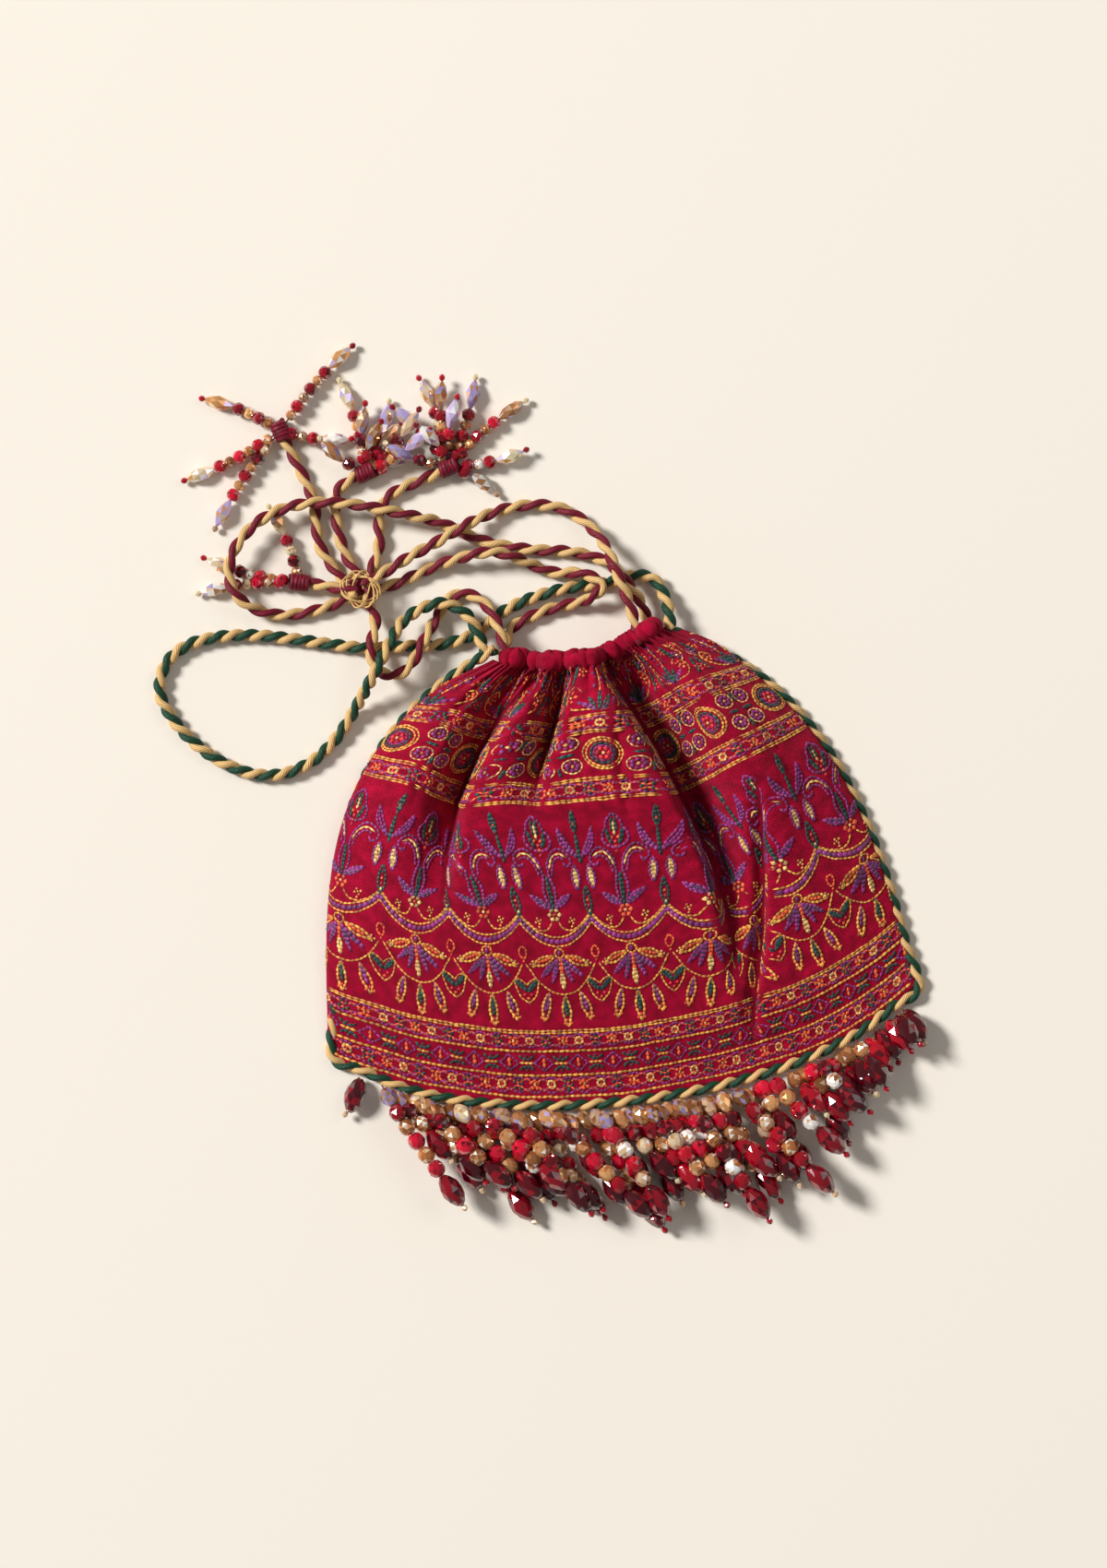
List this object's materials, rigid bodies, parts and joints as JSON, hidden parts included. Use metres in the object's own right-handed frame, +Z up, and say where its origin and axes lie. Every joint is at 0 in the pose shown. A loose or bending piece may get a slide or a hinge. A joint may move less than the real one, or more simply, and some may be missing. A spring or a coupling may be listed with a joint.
{
  "type": "potli bag",
  "caption": "Gathered drawstring pouch with floral chain-stitch bands, twisted cord piping and loop, bead tassels and a bead fringe on the hem.",
  "frame": {"origin": "on the back panel's flat underside, on the centre line about midway between hem and mouth", "axes": "+X across the bag to the viewer's right, +Y from the hem to the mouth, +Z up out of the embroidered front"},
  "size_m": [0.2636, 0.3234, 0.0266],
  "materials": {
    "embroidered_cloth": "woven wool cloth with chain stitch",
    "plain_cloth": "matte crimson woven cloth",
    "green_gold_cord": "two-ply twisted cord, silky",
    "maroon_gold_cord": "two-ply twisted cord, silky",
    "fringe_beads": "faceted glass, glossy",
    "tassel_beads": "faceted glass, glossy"
  },
  "bodies": {
    "root": {"front_panel": "embroidered_cloth", "back_panel": "embroidered_cloth", "front_casing": "plain_cloth", "back_casing": "plain_cloth", "seam_piping": "green_gold_cord", "carrying_loop": "green_gold_cord", "drawstring_knot": "maroon_gold_cord", "drawstring_left_front": "maroon_gold_cord", "drawstring_left_back": "maroon_gold_cord", "drawstring_right_front": "maroon_gold_cord", "drawstring_right_back": "maroon_gold_cord", "tassel_cord_a": "maroon_gold_cord", "tassel_cord_b": "maroon_gold_cord", "tassel_cord_c": "maroon_gold_cord", "tassel_cord_d": "maroon_gold_cord", "tassel_a": "tassel_beads", "tassel_b": "tassel_beads", "tassel_c": "tassel_beads", "tassel_d": "tassel_beads", "fringe_strand_01": "fringe_beads", "fringe_strand_02": "fringe_beads", "fringe_strand_03": "fringe_beads", "fringe_strand_04": "fringe_beads", "fringe_strand_05": "fringe_beads", "fringe_strand_06": "fringe_beads", "fringe_strand_07": "fringe_beads", "fringe_strand_08": "fringe_beads", "fringe_strand_09": "fringe_beads", "fringe_strand_10": "fringe_beads", "fringe_strand_11": "fringe_beads", "fringe_strand_12": "fringe_beads", "fringe_strand_13": "fringe_beads", "fringe_strand_14": "fringe_beads", "fringe_strand_15": "fringe_beads", "fringe_strand_16": "fringe_beads", "fringe_strand_17": "fringe_beads", "fringe_strand_18": "fringe_beads", "fringe_strand_19": "fringe_beads", "fringe_strand_20": "fringe_beads", "fringe_strand_21": "fringe_beads", "fringe_strand_22": "fringe_beads", "fringe_strand_23": "fringe_beads", "fringe_strand_24": "fringe_beads", "fringe_strand_25": "fringe_beads", "fringe_strand_26": "fringe_beads"}
  },
  "joints": []
}
